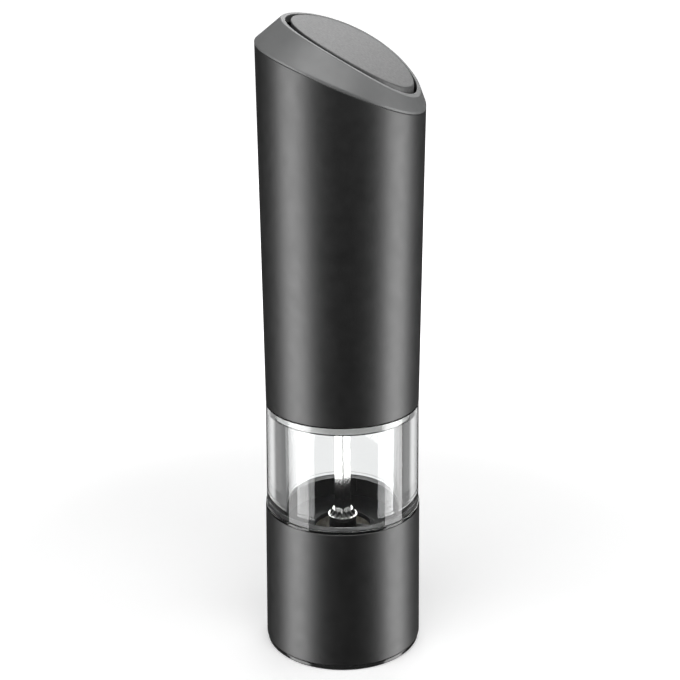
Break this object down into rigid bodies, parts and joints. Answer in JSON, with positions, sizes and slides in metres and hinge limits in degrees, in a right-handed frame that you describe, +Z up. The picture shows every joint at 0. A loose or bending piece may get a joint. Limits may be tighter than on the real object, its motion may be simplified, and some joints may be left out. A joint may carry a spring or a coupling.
{
  "type": "pepper mill",
  "caption": "Battery pepper mill for one hand: black base and slanted head with a push button, clear pepper chamber, ceramic burrs, planetary gearbox, motor and battery cage.",
  "frame": {"origin": "middle of the foot, on the table", "axes": "+Z is up along the mill; the slanted top falls towards +X; the mill is symmetric about the XZ plane outside"},
  "size_m": [0.055, 0.055, 0.2205],
  "materials": {
    "soft_touch_black": "matt black",
    "gloss_black": "glossy black",
    "clear_acrylic": "clear polished",
    "black_plastic": "satin moulded",
    "seal_rubber": "soft rubber",
    "white_ceramic": "fired, matt",
    "polished_steel": "polished",
    "zinc_steel": "zinc plated",
    "bearing_brass": "turned",
    "white_nylon": "moulded nylon",
    "ferrite": "sintered",
    "cell_wrap": "printed sleeve",
    "lead_red": "insulated wire",
    "board_green": "laminate",
    "switch_black": "moulded",
    "plunger_red": "moulded"
  },
  "bodies": {
    "base": {"base_housing": "soft_touch_black", "chamber_cup": "black_plastic", "pepper_container": "clear_acrylic", "chamber_seal": "seal_rubber", "grinder_stator": "white_ceramic", "stator_retainer": "black_plastic", "retainer_screws": "zinc_steel", "bearing_spider": "black_plastic"},
    "cap": {"aroma_cap": "gloss_black"},
    "drive": {"drive_shaft": "polished_steel", "feed_rosette": "polished_steel", "shaft_bush": "bearing_brass"},
    "rotor": {"grinder_rotor": "white_ceramic", "rotor_spring": "zinc_steel"},
    "knob": {"adjust_knob": "black_plastic"},
    "head": {"chassis": "white_nylon", "head_seal": "seal_rubber", "ring_gear": "white_nylon", "motor_plate": "zinc_steel", "plate_screws": "zinc_steel", "motor_shroud": "black_plastic", "motor_screws": "zinc_steel", "motor_can": "zinc_steel", "motor_magnets": "ferrite", "motor_end_cap": "black_plastic", "battery_cage": "black_plastic", "cage_screws": "zinc_steel", "aaa_cells": "cell_wrap", "lower_contacts": "bearing_brass", "upper_contacts": "bearing_brass", "contact_leaves": "bearing_brass", "motor_leads": "lead_red", "switch_board": "board_green", "board_screws": "zinc_steel", "switch_body": "switch_black", "button_spring": "zinc_steel"},
    "motor_rotor": {"motor_shaft": "polished_steel", "motor_pinion": "bearing_brass", "armature": "zinc_steel"},
    "carrier": {"first_carrier": "white_nylon"},
    "output": {"output_carrier": "white_nylon"},
    "sleeve": {"upper_housing": "soft_touch_black", "top_bezel": "soft_touch_black"},
    "button": {"push_button": "soft_touch_black"},
    "plunger": {"switch_plunger": "plunger_red"},
    "planet_one_a": {"planet_one_a": "white_nylon"},
    "planet_one_b": {"planet_one_b": "white_nylon"},
    "planet_one_c": {"planet_one_c": "white_nylon"},
    "planet_two_a": {"planet_two_a": "white_nylon"},
    "planet_two_b": {"planet_two_b": "white_nylon"},
    "planet_two_c": {"planet_two_c": "white_nylon"}
  },
  "joints": [
    {"name": "cap_pull", "type": "slide", "parent": "base", "child": "cap", "axis": [0, 0, -1], "range_m": [0, 0.03]},
    {"name": "drive_spin", "type": "hinge", "parent": "base", "child": "drive", "pos_m": [0, 0, 0.045], "axis": [0, 0, 1], "continuous": true},
    {"name": "rotor_shift", "type": "slide", "parent": "drive", "child": "rotor", "axis": [0, 0, 1], "range_m": [-0.0007, 0], "deforming": ["rotor_spring"]},
    {"name": "adjust_turn", "type": "hinge", "parent": "rotor", "child": "knob", "pos_m": [0, 0, 0.015], "axis": [0, 0, 1], "range_deg": [0, 360]},
    {"name": "head_lift", "type": "slide", "parent": "base", "child": "head", "axis": [0, 0, 1], "range_m": [0, 0.06]},
    {"name": "motor_spin", "type": "hinge", "parent": "head", "child": "motor_rotor", "pos_m": [0, 0, 0.12], "axis": [0, 0, 1], "continuous": true},
    {"name": "carrier_spin", "type": "hinge", "parent": "head", "child": "carrier", "pos_m": [0, 0, 0.1], "axis": [0, 0, 1], "continuous": true},
    {"name": "output_spin", "type": "hinge", "parent": "head", "child": "output", "pos_m": [0, 0, 0.092], "axis": [0, 0, 1], "continuous": true},
    {"name": "sleeve_lift", "type": "slide", "parent": "head", "child": "sleeve", "axis": [0, 0, 1], "range_m": [0, 0.125]},
    {"name": "button_press", "type": "slide", "parent": "sleeve", "child": "button", "axis": [0, 0, -1], "range_m": [0, 0.002], "stiffness_N_per_m": 800, "springref_m": -0.004, "deforming": ["button_spring"]},
    {"name": "plunger_press", "type": "slide", "parent": "head", "child": "plunger", "axis": [0, 0, -1], "range_m": [0, 0.002]},
    {"name": "planet_one_a_spin", "type": "hinge", "parent": "carrier", "child": "planet_one_a", "pos_m": [0.009, 0, 0.1036], "axis": [0, 0, 1], "continuous": true},
    {"name": "planet_one_b_spin", "type": "hinge", "parent": "carrier", "child": "planet_one_b", "pos_m": [-0.0045, 0.00779, 0.1036], "axis": [0, 0, 1], "continuous": true},
    {"name": "planet_one_c_spin", "type": "hinge", "parent": "carrier", "child": "planet_one_c", "pos_m": [-0.0045, -0.00779, 0.1036], "axis": [0, 0, 1], "continuous": true},
    {"name": "planet_two_a_spin", "type": "hinge", "parent": "output", "child": "planet_two_a", "pos_m": [0.009, 0, 0.097], "axis": [0, 0, 1], "continuous": true},
    {"name": "planet_two_b_spin", "type": "hinge", "parent": "output", "child": "planet_two_b", "pos_m": [-0.0045, 0.00779, 0.097], "axis": [0, 0, 1], "continuous": true},
    {"name": "planet_two_c_spin", "type": "hinge", "parent": "output", "child": "planet_two_c", "pos_m": [-0.0045, -0.00779, 0.097], "axis": [0, 0, 1], "continuous": true}
  ],
  "couplings": [
    {"joint": "carrier_spin", "follows": "motor_spin", "ratio": 0.2},
    {"joint": "output_spin", "follows": "motor_spin", "ratio": 0.04},
    {"joint": "drive_spin", "follows": "motor_spin", "ratio": 0.04},
    {"joint": "adjust_turn", "follows": "rotor_shift", "rad_per_m": -8975.7},
    {"joint": "plunger_press", "follows": "button_press", "ratio": 1},
    {"joint": "planet_one_a_spin", "follows": "motor_spin", "ratio": -0.53333},
    {"joint": "planet_one_b_spin", "follows": "motor_spin", "ratio": -0.53333},
    {"joint": "planet_one_c_spin", "follows": "motor_spin", "ratio": -0.53333},
    {"joint": "planet_two_a_spin", "follows": "motor_spin", "ratio": -0.10667},
    {"joint": "planet_two_b_spin", "follows": "motor_spin", "ratio": -0.10667},
    {"joint": "planet_two_c_spin", "follows": "motor_spin", "ratio": -0.10667}
  ]
}
